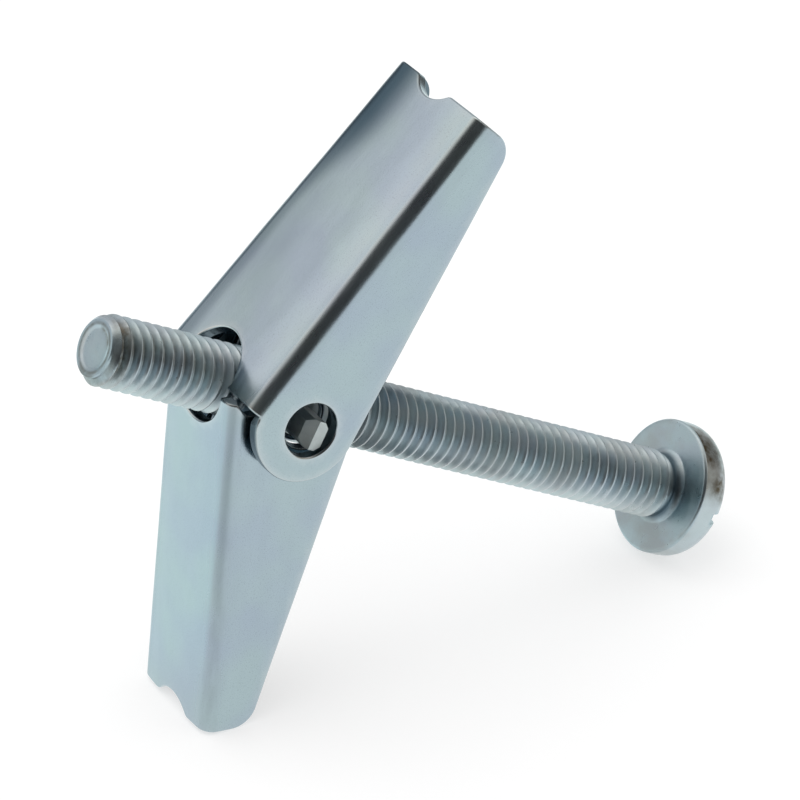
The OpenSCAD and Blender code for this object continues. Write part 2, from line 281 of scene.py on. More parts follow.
sheet_zinc = zinc(
    "sheet_zinc", tint=(0.39, 0.49, 0.52), cast=(0.37, 0.45, 0.52), bright=0.13, dull=0.26,
    patch_mm=7, grain_mm=1.1, stretch=(0.25, 1, 1), bump_mm=0.004, follows="blank",
)
nut_zinc = zinc(
    "nut_zinc", tint=(0.54, 0.60, 0.60), cast=(0.44, 0.50, 0.52), bright=0.34, dull=0.54,
    patch_mm=2, grain_mm=0.5, stretch=(1, 0.3, 1), bump_mm=0.03,
)
screw_zinc = zinc(
    "screw_zinc", tint=(0.44, 0.56, 0.60), cast=(0.43, 0.52, 0.58), bright=0.26, dull=0.42,
    patch_mm=3, grain_mm=0.8, stretch=(1, 1, 1), bump_mm=0.006, flecks=0.4,
    stain=(0.36, 0.38, 0.36), stained=0.4, film=0.42,
)
wire_steel = zinc(
    "wire_steel", tint=(0.24, 0.28, 0.31), cast=(0.18, 0.21, 0.24), bright=0.12, dull=0.24,
    patch_mm=1, grain_mm=0.3, stretch=(1, 1, 1), bump_mm=0.002,
)
print("finishes:", [m.name for m in (sheet_zinc, nut_zinc, screw_zinc, wire_steel)])

# %% [markdown]
# ## A folded sheet
# Each wing is stamped as a flat blank and folded twice into a channel. The
# model follows the tool: the outline of the blank is laid out flat, the sheet
# is filled with triangles, and one formula folds every point at once. The
# formula keeps lengths on the outer face, as a press brake does: a point
# further from the web's middle than the fold line turns round the fold's
# centre, and past a quarter turn it runs straight down the flange. Pressed
# sheet is never quite true, and a wing without a fault looks drawn by a
# machine, so two are kept: a web that lies a little off the middle, with its
# notches, and a near flange that has sprung open.

# %% The fold
SHEET, FOLD_R, WHOLE_TO = 1.0, 1.25, 3.4
QUARTER = math.pi / 2
FOLD_LENGTH = FOLD_R * QUARTER


def ease(value, start, stop):
    """0 before start, 1 after stop, and a smooth S between them."""
    t = np.clip((value - start) / (stop - start), 0, 1)
    return t * t * (3 - 2 * t)


def bell(value, middle, width):
    """1 at the middle, and e to the minus square of the distance from it, in widths, elsewhere."""
    return np.exp(-(((value - middle) / width) ** 2))


class Wing:
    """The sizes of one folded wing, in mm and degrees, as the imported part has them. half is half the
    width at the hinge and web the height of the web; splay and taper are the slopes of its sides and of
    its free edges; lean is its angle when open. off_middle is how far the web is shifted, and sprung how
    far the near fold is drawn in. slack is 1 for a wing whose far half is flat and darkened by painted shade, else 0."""

    def __init__(self, **sizes):
        self.__dict__.update(sizes)
        self.splay_r = math.radians(self.splay)
        self.taper_r = math.radians(self.taper)


def fold(wing, x, y, depth):
    """Blank point (x, y) at a depth under the outer face, folded to (x, y, z) of the wing.
    b is the distance past the flange's outer face line and a the distance along it. Up to b = -R the
    sheet is flat; then it turns by (b + R) / R round the fold's centre; after a quarter turn it drops.
    First the web is moved off the middle, all of it up to WHOLE_TO and less and less up to the fold.
    Last the near fold moves in, most at the hinge, while the flange's foot stays: so it stands open."""
    y = y + wing.off_middle * (1 - ease(np.abs(y), WHOLE_TO, wing.half - FOLD_R - 0.3))
    side, y = np.sign(y) + (y == 0), np.abs(y)
    cos_s, sin_s = math.cos(wing.splay_r), math.sin(wing.splay_r)
    a = x * cos_s - (y - wing.half) * sin_s
    b = x * sin_s + (y - wing.half) * cos_s
    turn = np.clip((b + FOLD_R) / FOLD_R, 0, QUARTER)
    flat = np.minimum(b, -FOLD_R)
    drop = np.maximum(b + FOLD_R - FOLD_LENGTH, 0)
    b_folded = flat + (FOLD_R - depth) * np.sin(turn)
    z = wing.web - FOLD_R - drop + (FOLD_R - depth) * np.cos(turn)
    folded_x = a * cos_s + b_folded * sin_s
    folded_y = side * (wing.half - a * sin_s + b_folded * cos_s)
    near = (1 - ease(folded_y, -3, 6)) * np.clip(z / (wing.web - FOLD_R), 0, 1)
    folded_y = folded_y + wing.sprung * (1 - 0.03 * (folded_x + wing.tail)) * near
    return np.stack([folded_x, folded_y, z], axis=-1)


def unroll(wing, x, z):
    """The blank point of a point (x, z) in the wing's side view, on the outer face of the fold or flange."""
    cos_s, sin_s = math.cos(wing.splay_r), math.sin(wing.splay_r)
    start = wing.web - FOLD_R
    turn = np.arccos(np.clip((z - start) / FOLD_R, 0, 1))
    b = -FOLD_R + FOLD_R * turn + np.maximum(start - z, 0)
    a = (x - (FOLD_R * np.sin(turn) - FOLD_R) * sin_s) / cos_s
    return np.stack([a * cos_s + b * sin_s, wing.half - a * sin_s + b * cos_s], axis=-1)


outer = Wing(
    half=7.55, web=5.6, splay=2.1, taper=11.8, length=27.4, tail=1.6, notch_shift=0.0,
    ear_r=4.65, ear_lift=0.35, level=0.0, corner_r=2.0, lean=17.9, side=1, step_back=[],
    off_middle=0.8, sprung=0.42, slack=1,
)
inner = Wing(
    half=5.6, web=7.3, splay=0.0, taper=15.8, length=27.5, tail=2.55, notch_shift=0.25,
    ear_r=4.25, ear_lift=0.0, level=2.1, corner_r=2.2, lean=22.2, side=-1,
    step_back=[(-1.5, 5.55), (-2.55, 6.55)], off_middle=0.0, sprung=0.0, slack=0,
)
flat_width = 2 * (outer.half - FOLD_R + FOLD_LENGTH)
print(f"the outer wing's blank is {flat_width:.1f} mm wide to the end of its folds")

# %% [markdown]
# ## The outline of the blank
# The outline has arcs for the ears, the corners and the notches, and straight
# lines between them. Half of it is written down, from the middle of the tip
# to the middle of the hinge end, and the other half is its mirror image. The
# holes of the ears are circles in the side view, so they are unrolled too.

# %% Outline of a wing
HOLE_R, SCREW_NOTCH_R = 2.3, 3.75
TIP_NOTCH_DEPTH, TIP_NOTCH_R, SHOULDER_R = 1.1, 3.2, 0.8


def arc(centre, radius, start, stop, step=5.0):
    """Points round the centre from the start angle to the stop angle, in degrees."""
    count = max(int(abs(stop - start) / step), 2)
    angle = np.radians(np.linspace(start, stop, count + 1))
    return np.stack([centre[0] + radius * np.cos(angle), centre[1] + radius * np.sin(angle)], axis=-1)


def even(points, step):
    """The closed line through the points, with new points so that none are further apart than step."""
    points = points[np.linalg.norm(np.roll(points, -1, axis=0) - points, axis=1) > 1e-4]
    following = np.roll(points, -1, axis=0)
    counts = np.maximum(np.ceil(np.linalg.norm(following - points, axis=1) / step).astype(int), 1)
    which = np.repeat(np.arange(len(points)), counts)
    share = (np.arange(counts.sum()) - np.repeat(np.cumsum(counts) - counts, counts)) / counts[which]
    return points[which] + share[:, None] * (following - points)[which]


def free_edge(wing, x):
    """Height of the flanges' tapered free edge, which touches the round of the ear."""
    foot_x = wing.level or wing.ear_r * math.sin(wing.taper_r)
    foot_z = -wing.ear_r if wing.level else wing.ear_lift - wing.ear_r * math.cos(wing.taper_r)
    return foot_x, foot_z, foot_z + (x - foot_x) * math.tan(wing.taper_r)


def half_outline(wing):
    """Blank points from the middle of the tip to the middle of the hinge end, on the +y side."""
    reach = TIP_NOTCH_R + SHOULDER_R
    half_notch = math.sqrt(TIP_NOTCH_DEPTH * (2 * reach - TIP_NOTCH_DEPTH))
    meet = math.degrees(math.atan2(half_notch, TIP_NOTCH_DEPTH - reach))
    tip = [
        arc((wing.length - TIP_NOTCH_DEPTH + TIP_NOTCH_R, 0), TIP_NOTCH_R, 180, meet),
        arc((wing.length - SHOULDER_R, half_notch), SHOULDER_R, meet - 180, 0),
    ]
    corner_x = wing.length - wing.corner_r
    foot_x, foot_z, edge_z = free_edge(wing, corner_x)
    corner = (corner_x, edge_z + wing.corner_r / math.cos(wing.taper_r))
    down = np.linspace(wing.web, wing.web - FOLD_R, 9)
    back_x = wing.step_back[0][0] if wing.step_back else -wing.tail
    rise = math.degrees(math.asin(math.sqrt(wing.ear_r**2 - back_x**2) / wing.ear_r))
    if wing.step_back:
        back = np.array([*wing.step_back, (-wing.tail, wing.web)])
    else:
        back = np.stack([np.full(9, -wing.tail), np.linspace(wing.web - FOLD_R * 0.6, wing.web, 9)], axis=-1)
    side_view = np.concatenate([
        np.stack([np.full(9, wing.length), down], axis=-1),
        arc(corner, wing.corner_r, 0, wing.taper - 90),
        np.array([(foot_x, foot_z), (0.0 if wing.level else foot_x, foot_z)]),
        arc((0, wing.ear_lift), wing.ear_r, -90 if wing.level else wing.taper - 90, -180 - rise),
        back,
    ])
    open_angle = math.degrees(math.acos(wing.notch_shift / SCREW_NOTCH_R))
    notch = arc((-wing.tail - wing.notch_shift, 0), SCREW_NOTCH_R, open_angle, 0)
    return np.concatenate([*tip, unroll(wing, side_view[:, 0], side_view[:, 1]), notch])


def mirrored(points):
    """The points, and then their mirror image in reverse order, so that the line closes."""
    return np.concatenate([points, points[::-1][1:-1] * (1, -1)])


for wing in (outer, inner):
    wing.outline = even(mirrored(half_outline(wing)), 0.25)
    hole = unroll(wing, *arc((0, 0), HOLE_R, 0, 360, 6)[:-1].T)
    wing.holes = [hole, hole[::-1] * (1, -1)]
    print("outline of", len(wing.outline), "points, blank", np.round(np.ptp(wing.outline, axis=0), 1), "mm")

# %% [markdown]
# ## From the outline to a solid wing
# The blank is filled with triangles by Blender's constrained Delaunay tool,
# with rows of points laid along the folds so that each fold gets even strips.
# Its cut edge isn't sharp: the die rolls the outer side over and leaves a
# smaller break inside. That edge is a profile carried round the outline, from
# the outer face (0 degrees) over the cut (90) to the inner face (180). The
# normal of every point follows from the same angle, through the fold.

# %% Points of the sheet
ROLLED_R, BREAK_R = 0.2, 0.08
CLEAR_OF_RIM, PAST_HINGE, PAST_FOLD = 0.14, 7, 14


def outward(loop):
    """At each point of a closed line, the direction square to it, so long that both edges move by one."""
    ahead = np.roll(loop, -1, axis=0) - loop
    ahead /= np.linalg.norm(ahead, axis=1)[:, None]
    after = ahead[:, ::-1] * (1, -1)
    before = np.roll(after, 1, axis=0)
    return (before + after) / (1 + (before * after).sum(1))[:, None]


def edge_profile():
    """Rows of (distance inside the outline, depth, angle of the normal) over the cut edge."""
    roll = np.radians(np.linspace(0, 90, 6))
    back = np.radians(np.linspace(90, 180, 4))
    first = np.stack([ROLLED_R * (1 - np.sin(roll)), ROLLED_R * (1 - np.cos(roll)), roll], axis=-1)
    last = np.stack([BREAK_R * (1 - np.sin(back)), SHEET - BREAK_R - BREAK_R * np.cos(back), back], axis=-1)
    return np.concatenate([first, last])


def inside(points, loops):
    """Which points lie inside the first loop and outside the others: they cross an odd number of edges."""
    crossings = np.zeros(len(points), int)
    for loop in loops:
        start, end = loop, np.roll(loop, -1, axis=0)
        above = (start[:, 1] > points[:, 1:2]) != (end[:, 1] > points[:, 1:2])
        rise = np.where(end[:, 1] == start[:, 1], 1, end[:, 1] - start[:, 1])
        at = start[:, 0] + (points[:, 1:2] - start[:, 1]) / rise * (end[:, 0] - start[:, 0])
        crossings += (above & (points[:, 0:1] < at)).sum(1)
    return crossings % 2 == 1


def distance_to(points, line):
    """Distance from each point to the nearest point of the line."""
    parts = [np.sqrt(((p[:, None] - line[None]) ** 2).sum(-1)).min(1) for p in np.array_split(points, 16)]
    return np.concatenate(parts)


def fill_points(wing, spacing=0.6, strips=12):
    """Rows of points laid along both folds: evenly over the web and the flanges, close over the fold."""
    web_rows = -np.arange(FOLD_R + spacing, wing.half, spacing)
    fold_rows = -FOLD_R + np.linspace(0, FOLD_LENGTH, strips + 1)
    flange_rows = FOLD_LENGTH - FOLD_R + np.arange(spacing, PAST_FOLD, spacing)
    rows = np.concatenate([web_rows, fold_rows, flange_rows])
    a, b = np.meshgrid(np.arange(-PAST_HINGE, wing.length + 2, spacing), rows)
    cos_s, sin_s = math.cos(wing.splay_r), math.sin(wing.splay_r)
    x, y = (a * cos_s + b * sin_s).ravel(), (wing.half - a * sin_s + b * cos_s).ravel()
    right = np.stack([x, y], axis=-1)[y > 0.2]
    return np.concatenate([right, right * (1, -1)])


def flat_triangles(loops, seeds):
    """Triangles inside the first loop and outside the others, between the loops' points and the seeds."""
    edges, first = [], 0
    for loop in loops:
        numbers = first + np.arange(len(loop))
        edges += np.stack([numbers, np.roll(numbers, -1)], axis=-1).tolist()
        first += len(loop)
    flat = np.concatenate([*loops, seeds])
    made = delaunay_2d_cdt([Vector(p) for p in flat.tolist()], edges, [], 2, 1e-6)
    assert len(made[0]) == len(flat), "the tool added points"
    source = np.array([ids[0] for ids in made[3]])
    triangles = source[np.array(made[2])]
    return triangles[inside(flat[triangles].mean(1), loops)]


def sheet_skin(wing):
    """The whole skin of the sheet, still flat: the rows of the edge's profile round every loop, then the
    seeds of the outer face, then the same seeds on the inner face. For each point it gives the blank
    point, the depth, the angle of the normal and the direction square to the outline; and the faces."""
    loops = [wing.outline, *wing.holes]
    outs = np.concatenate([outward(loop) for loop in loops])
    inset = [loop - ROLLED_R * outward(loop) for loop in loops]
    seeds = fill_points(wing)
    seeds = seeds[inside(seeds, inset)]
    seeds = seeds[distance_to(seeds, np.concatenate(inset)) > CLEAR_OF_RIM]
    triangles = flat_triangles(inset, seeds)
    profile = edge_profile()
    rows, n_rim, n_seed = len(profile), len(outs), len(seeds)
    line = np.concatenate(loops)
    blank = np.concatenate([line - row[0] * outs for row in profile] + [seeds, seeds])
    depth = np.concatenate([np.repeat(profile[:, 1], n_rim), np.zeros(n_seed), np.full(n_seed, SHEET)])
    angle = np.concatenate([np.repeat(profile[:, 2], n_rim), np.zeros(n_seed), np.full(n_seed, math.pi)])
    square = np.tile(outs / np.linalg.norm(outs, axis=1)[:, None], (rows, 1))
    sideways = np.concatenate([square, np.zeros((2 * n_seed, 2))])
    top = np.concatenate([np.arange(n_rim), rows * n_rim + np.arange(n_seed)])
    bottom = top + np.repeat([(rows - 1) * n_rim, n_seed], [n_rim, n_seed])
    faces = top[triangles].tolist() + bottom[triangles][:, ::-1].tolist()
    first = 0
    for loop in loops:
        ring = first + np.arange(len(loop))
        numbers = np.arange(rows)[:, None] * n_rim + ring[None]
        faces += quads_of(numbers, closed=True)[:, ::-1].tolist()
        first += len(loop)
    return blank, depth, angle, sideways, faces


print("the cut edge has", len(edge_profile()), "rows of points")

# %% [markdown]
# ## Folded, and not quite flat
# A sheet that is perfectly flat mirrors the room without a flaw, and looks
# like plastic. The real strip keeps long waves of one or two hundredths of a
# millimetre, and begins to fall away by a tenth before each fold. Both are
# heights over the blank, so the same fold bends them too, and their slope
# tilts the normals.

# %% Folded sheet
FALL, FALL_BEFORE, FALL_PAST = 0.14, 1.8, 0.9
STEP = 1e-4


def relief(wing, x, y):
    """Height in mm that the sheet stands off its true face: three long, low waves of the rolled strip,
    less a bell across the start of each fold, wider on the web's side than on the fold's."""
    phase = 1.7 * wing.side
    fold_line = wing.half - FOLD_R - x * math.tan(wing.splay_r)
    beyond = np.abs(y) - fold_line - 0.7
    width = np.where(beyond > 0, FALL_PAST, FALL_BEFORE)
    fall = FALL * (1 - wing.slack * ease(y, -3, 3))
    return (
        -0.002 - fall * bell(beyond, 0, width)
        + 0.009 * np.sin(0.42 * x + 0.20 * y + phase)
        + 0.005 * np.sin(0.9 * y - 0.31 * x + 2.1 + phase)
        + 0.003 * np.sin(1.3 * x + 1.1 * y)
    )


def folded_sheet(wing):
    """The closed skin of a wing in its own frame, in mm: points, faces, normals, blank points and depths.
    A normal is the fold's own direction up, tilted against the slope of the relief, and turned by the
    profile's angle towards the direction out of the outline."""
    blank, depth, angle, sideways, faces = sheet_skin(wing)
    x, y = blank.T
    height = relief(wing, x, y)
    slope_x = (relief(wing, x + STEP, y) - height) / STEP
    slope_y = (relief(wing, x, y + STEP) - height) / STEP
    face_points = fold(wing, x, y, depth)
    up = (fold(wing, x, y, depth - STEP) - face_points) / STEP
    along_x = (fold(wing, x + STEP, y, depth) - face_points) / STEP
    along_y = (fold(wing, x, y + STEP, depth) - face_points) / STEP
    out = sideways[:, :1] * along_x + sideways[:, 1:] * along_y
    facing = np.cos(angle)[:, None] * (up - slope_x[:, None] * along_x - slope_y[:, None] * along_y)
    normals = facing + np.sin(angle)[:, None] * out
    normals /= np.linalg.norm(normals, axis=1)[:, None]
    return fold(wing, x, y, depth - height), faces, normals, blank, depth


def wing_wear_and_shade(wing, blank, depth):
    """The wear and painted shade of a wing's points. Rubbed fades away from the cut edge in 0.22 mm.
    Painted shade covers the inside of the channel, the cut edges of the ears, and the far half of the web,
    wide and faint near the hinge and narrow and deep at the tip. Worked covers the folds, and patina
    the folds of the wing without that shade on its web."""
    x, y = blank.T
    line = np.concatenate([wing.outline, *wing.holes])
    bent = (np.abs(y) - wing.half + FOLD_R) / FOLD_LENGTH
    outside = depth < SHEET / 2
    # Painted shade on the far half of the web and on the cut edges of the ears.
    at_tip = ease(x, 12, 23)
    wide = 0.15 * ease(y, -1, 3) * ease(x, 0, 10)
    narrow = (0.42 + 0.4 * at_tip) * ease(y, 3.6 - 3.4 * at_tip, 6.0 - 1.8 * at_tip)
    far_side_shade = wing.slack * (wide + narrow) * (1 - 0.4 * ease(bent, 0.2, 0.8))
    ear_edge_shade = 0.8 * ease(depth, 0.03, 0.12) * (x < 6)
    return {
        "rubbed_and_highlight": np.exp(-distance_to(blank, line) / 0.22) * (0.7 - 0.5 * ease(x, wing.length - 4, wing.length - 1)),
        "painted_shade": np.maximum(0.75 * ease(depth, 0.5, 0.9), ear_edge_shade) + far_side_shade * outside,
        "worked": ease(bent, -0.4, 0.2) * (1 - ease(bent, 0.8, 1.4)),
        "patina": 0.1 * (1 - wing.slack) * ease(bent, 0, 0.4) * (1 - ease(bent, 0.7, 1.1)) * ease(x, 6, 14) * outside,
    }


def wing_piece(wing, name, hinge, body, node):
    """The folded sheet, turned to its open place on its hinge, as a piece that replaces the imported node."""
    lean = math.radians(wing.lean)
    along = math.sin(lean) * to_head + wing.side * math.cos(lean) * upward
    out = -math.cos(lean) * to_head + wing.side * math.sin(lean) * upward
    points, faces, normals, blank, depth = folded_sheet(wing)
    if wing.side < 0:
        faces = [f[::-1] for f in faces]
    turned = normals[:, :1] * along + normals[:, 1:2] * across + normals[:, 2:] * out
    mesh = new_mesh(name, place(*points.T, origin=hinge, along=along, out=out), faces, turned)
    on_blank = np.column_stack([blank, depth]) * MM
    mesh.attributes.new("blank", "FLOAT_VECTOR", "POINT").data.foreach_set("vector", on_blank.ravel())
    for key, values in wing_wear_and_shade(wing, blank, depth).items():
        store(mesh, key, values)
    piece = new_piece(name, mesh, sheet_zinc)
    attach(piece, body)
    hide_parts(node)
    print(name, len(points), "points", len(faces), "faces")


wing_piece(outer, "folded_outer_wing", outer_hinge, "outer", "outer_wing")
wing_piece(inner, "folded_inner_wing", nut_centre, "inner", "inner_wing")

# %% [markdown]
# ## The thread
# A rolled thread is one profile that winds round the screw. The grid winds
# with it: its columns stand round the screw and its rows follow the helix, so
# every crest and root is a row of points and stays crisp. The radius is then
# held under the chamfer at the tip and over the fillet at the head. Rows that
# would pass an end gather on the end's ring, and are merged there.

# %% Screw surface
THREAD_R, ROOT_R, SHANK_R, PITCH = 2.95, 2.40, 2.68, 1.0
TIP_X, HEAD_X = -18.0, 42.0
TIP_R, DISH_R, DISH = 2.35, 1.95, 0.08
NECK_R, NECK_H = 3.25, 0.6
HEAD_R, HEAD_H, CROWN_R, EDGE_R = 5.85, 3.4, 2.0, 0.25
SLOT_W, SLOT_DEPTH, CUTTER_REACH = 1.0, 1.5, 9
LINE_STEP, LINE_DEPTH = 0.11, 0.0016
COLUMNS = 72

# One turn of the thread: (share of the pitch, radius). The crest has the
# shallow seam that rolling leaves, and the root is round.
TURN = np.array([
    (0.000, 2.925), (0.035, THREAD_R), (0.080, 2.938), (0.125, THREAD_R), (0.160, 2.925), (0.300, 2.670),
    (0.430, 2.450), (0.480, 2.408), (0.580, ROOT_R), (0.680, 2.408), (0.730, 2.450), (0.865, 2.680),
])


def thread_rows():
    """Distance along the screw and radius of every point of the wound grid. A point's place along the
    screw is its row's place in the profile plus its share of a turn; its radius is the profile's."""
    turns = int((HEAD_X - TIP_X) / PITCH) + 2
    along = TIP_X - PITCH + PITCH * (np.arange(turns)[:, None] + TURN[None, :, 0]).ravel()
    radius = np.tile(TURN[:, 1], turns)
    x = along[:, None] + PITCH * np.arange(COLUMNS)[None] / COLUMNS
    radius = np.broadcast_to(radius[:, None], x.shape)
    fade = ease(x, HEAD_X - 1.2, HEAD_X - 0.6)
    radius = radius * (1 - fade) + SHANK_R * fade
    radius = np.minimum(radius, TIP_R + np.maximum(x - TIP_X, 0))
    fillet = NECK_R - (NECK_R - SHANK_R) * np.sqrt(np.clip(1 - ease(x, HEAD_X - NECK_H, HEAD_X) ** 2, 0, 1))
    radius = np.where(x > HEAD_X - NECK_H, np.maximum(radius, fillet), radius)
    radius = np.where(x >= HEAD_X, NECK_R, radius)
    return np.clip(x, TIP_X, HEAD_X), radius


def rings(profile):
    """The same two arrays for plain rings at the (x, radius) pairs of the profile."""
    profile = np.array(profile)
    shape = (len(profile), COLUMNS)
    return np.broadcast_to(profile[:, :1], shape), np.broadcast_to(profile[:, 1:], shape)


dish = [(TIP_X + DISH * (1 - ease(r, 1.55, DISH_R)), r) for r in (0, 0.6, 1.2, 1.5, 1.62, 1.7, 1.78, 1.86, DISH_R)]
dish += [(TIP_X, 2.05), (TIP_X, 2.2), (TIP_X, 2.3)]
edge = arc((HEAD_X + EDGE_R, HEAD_R - EDGE_R), EDGE_R, 180, 90, 15)
crown = arc((HEAD_X + HEAD_H - CROWN_R, HEAD_R - CROWN_R), CROWN_R, 90, 0, 7.5)
turning_lines = np.arange(3.36, 5.56, LINE_STEP)
head = [(HEAD_X + LINE_DEPTH * (k % 2), r) for k, r in enumerate(turning_lines)] + edge.tolist()
head += [(HEAD_X + 0.6, HEAD_R), (HEAD_X + 1.0, HEAD_R)] + crown.tolist()
head += [(HEAD_X + HEAD_H, r) for r in (3.4, 2.2, 1.0, 0)]
parts = [rings(dish), thread_rows(), rings(head)]
screw_x, screw_r = (np.concatenate([p[k] for p in parts]) for k in (0, 1))
numbers = np.arange(screw_x.size).reshape(screw_x.shape)
first, last = len(dish), len(dish) + len(parts[1][0])
next_turn = numbers[np.minimum(np.arange(first, last) + len(TURN), last - 1), :1]
screw_quads = np.concatenate([
    quads_of(numbers[: first + 1], closed=True),
    quads_of(np.hstack([numbers[first:last], next_turn])),
    quads_of(numbers[last - 1:], closed=True),
])
round_angle = 2 * math.pi * np.arange(COLUMNS) / COLUMNS
screw_points = place(screw_x, screw_r * np.cos(round_angle), screw_r * np.sin(round_angle))
print("screw:", screw_points.shape[0], "rows of", COLUMNS, "points")

# %% [markdown]
# ## Wear and painted light on the screw
# The crests, most of all underneath, the tip's face and the outer part of the
# head carry a painted highlight, and the underside of the thread a painted
# reflection of the floor. The roots get painted shade, deepest on the upper
# side, and so does the neck under the head, which lies in shade. The stains of
# the plating are brown: a streak and a blot on the head's rim, rings on the tip
# and its chamfer; and the first root and the roots near the tip are darker and
# browner on one side. Each is a product of simple curves: one along the screw,
# one in the radius, and one in the bearing, the angle round it.

# %% Screw wear and painted light
def from_to(value, start, full, fading, gone):
    """0 up to start, 1 from full to fading, and 0 again from gone on, with a smooth S at each end."""
    return ease(value, start, full) - ease(value, fading, gone)


bearing = np.degrees(round_angle) % 360
from_tip, from_head = screw_x - TIP_X, screw_x - HEAD_X
thread = (screw_x > TIP_X + 0.6) * (screw_x < HEAD_X - 1.2)
over, under = bell(bearing, 95, 32), bell(bearing, 235, 30)

crest = ease(screw_r, 2.90, 2.95) * (screw_r < 3) * (from_head < -0.8)
# Painted highlight: the crests, most of all underneath, the tip's face and the outer part of the head are lightened,
# and the underside of the thread gets a painted reflection of the floor.
rubbed_and_highlight = crest * (0.02 + 0.28 * bell(bearing, 205, 45)) + 0.65 * under * thread
rubbed_and_highlight = rubbed_and_highlight + 0.1 * (from_tip < 0.1) * (screw_r < 1.8) + 0.4 * (from_head > 0.2) * (screw_r > 3.3)

# Painted shade in the neck under the head, and in the roots, deepest on the upper side.
neck = 0.85 * ease(from_head, -1.0, -0.7) * (1 - ease(from_head, -0.3, 0)) * (screw_r < 3.3)
root = (1 - ease(screw_r, 2.5, 2.86)) * thread * (0.2 - 0.1 * ease(screw_x, 0, 20) + 0.4 * over)

on_rim = ease(screw_r, 4.5, 5.6) * (from_head > 0.2)
streak = from_to(bearing, 82, 100, 128, 140) * (1 - ease(from_head, 0.5, 2.2))
blot = bell(bearing, 152, 9) * bell(from_head, 1.5, 0.8)
brown = (0.35 + 0.4 * ease(from_head, 1.0, 2.4)) * from_to(bearing, 84, 112, 156, 170)
tip_ring = 0.7 * bell(screw_r, 2.0, 0.14) * (from_tip < 0.2)
tip_streak = 0.8 * bell(screw_r, 1.66, 0.16) * (from_tip < 0.2) * from_to(bearing, 70, 90, 140, 165)
tip_edge = 0.6 * bell(screw_r, 2.3, 0.15) * (from_tip < 0.4) * from_to(bearing, 225, 245, 285, 305)
chamfer = 0.45 * from_to(from_tip, 0, 0.3, 0.8, 1.6)
first_root = 0.45 * bell(from_tip, 1.3, 0.5) * from_to(bearing, 90, 110, 215, 240)
# Darker and browner in the roots near the tip, on one side.
tip_root_darkening = 0.5 * (1 - ease(screw_r, 2.45, 2.8)) * thread * (1 - ease(screw_x, -12, -3)) * bell(bearing, 140, 45)
patina = np.clip(0.9 * streak + 0.55 * blot + brown, 0, 1) * on_rim
patina = patina + tip_ring + tip_streak + tip_edge + chamfer + first_root + tip_root_darkening
print("the patina is deepest at bearing", bearing[np.unravel_index(patina.argmax(), patina.shape)[1]], "degrees")

# %% [markdown]
# ## The driver slot
# The slot is milled across the finished head, so it is cut the same way: a
# block is subtracted by the exact Boolean, and the result is kept as the
# piece's mesh. Shading is sharp only where faces meet at more than 35 degrees.

# %% Machine screw
def welded(mesh):
    """Merges the points that share a place, and drops the faces that this leaves without an area."""
    shape = bmesh.new()
    shape.from_mesh(mesh)
    bmesh.ops.remove_doubles(shape, verts=shape.verts, dist=1e-7)
    bmesh.ops.dissolve_degenerate(shape, dist=1e-8, edges=shape.edges)
    shape.to_mesh(mesh)
    shape.free()
    return mesh


mesh = new_mesh("machine_screw_threaded", screw_points.reshape(-1, 3), screw_quads.tolist())
for key, values in (("rubbed_and_highlight", rubbed_and_highlight), ("painted_shade", neck + root), ("patina", np.clip(patina, 0, 1))):
    store(mesh, key, values)
screw = new_piece("machine_screw_threaded", welded(mesh), screw_zinc)
floor_x = HEAD_X + HEAD_H - SLOT_DEPTH
x_ends, y_ends, z_ends = (floor_x, HEAD_X + CUTTER_REACH), (-CUTTER_REACH, CUTTER_REACH), (-SLOT_W / 2, SLOT_W / 2)
block = np.array([(x, y, z) for x in x_ends for y in y_ends for z in z_ends])
block_faces = [(0, 1, 3, 2), (4, 6, 7, 5), (0, 4, 5, 1), (2, 3, 7, 6), (0, 2, 6, 4), (1, 5, 7, 3)]
cutter = bpy.data.objects.new("slot_block", new_mesh("slot_block", place(*block.T), block_faces))
bpy.context.scene.collection.objects.link(cutter)
cut = screw.modifiers.new("slot", "BOOLEAN")
cut.operation, cut.solver, cut.object = "DIFFERENCE", "EXACT", cutter
slotted = bpy.data.meshes.new_from_object(screw.evaluated_get(bpy.context.evaluated_depsgraph_get()))
screw.modifiers.clear()
screw.data = slotted
slotted.set_sharp_from_angle(angle=math.radians(35))
bpy.data.objects.remove(cutter)
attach(screw, "screw")
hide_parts("machine_screw")
print("screw:", len(slotted.vertices), "points,", len(slotted.polygons), "faces")

# %% [markdown]
# ## The nut
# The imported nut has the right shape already: a plate with a drawn collar, and
# a bar-shaped lug each side with a bevelled end. It stays, and only gets its
# finish.

# %% Nut finish
nut = frame["nodes"]["trunnion_nut"]
nut.data.materials.clear()
nut.data.materials.append(nut_zinc)
print("the nut keeps its", len(nut.data.vertices), "points")

# %% [markdown]
# ## The spring
# One wire makes the whole spring, but here it is three pieces that meet end to
# end: the coils stay on the nut's lugs, the legs run from the coils to the
# outer wing, and the bridge runs from the coils to the inner wing.

# %% Torsion spring
# LUG_CORNER is the place, along the screw and below it, of the lug's edge that
# reaches furthest from the nut's centre; the coil has to clear it.
WIRE_R, WIRE_GAP = 0.25, 0.05
LUG_CORNER = (0.40, 1.70)
COIL_R = math.hypot(*LUG_CORNER) + WIRE_GAP + WIRE_R
OUTER_STRAND = inner.half - SHEET - WIRE_GAP - WIRE_R
INNER_STRAND = OUTER_STRAND - 2 * WIRE_R - WIRE_GAP
OUTER_HINGE_X = -0.85


def swung(wing, x, z, hinge_x):
    """A point (x, z) of the wing's side view, in the screw's side view."""
    lean = math.radians(wing.lean)
    return (
        hinge_x + x * math.sin(lean) - z * math.cos(lean),
        wing.side * (x * math.cos(lean) + z * math.sin(lean)),
    )


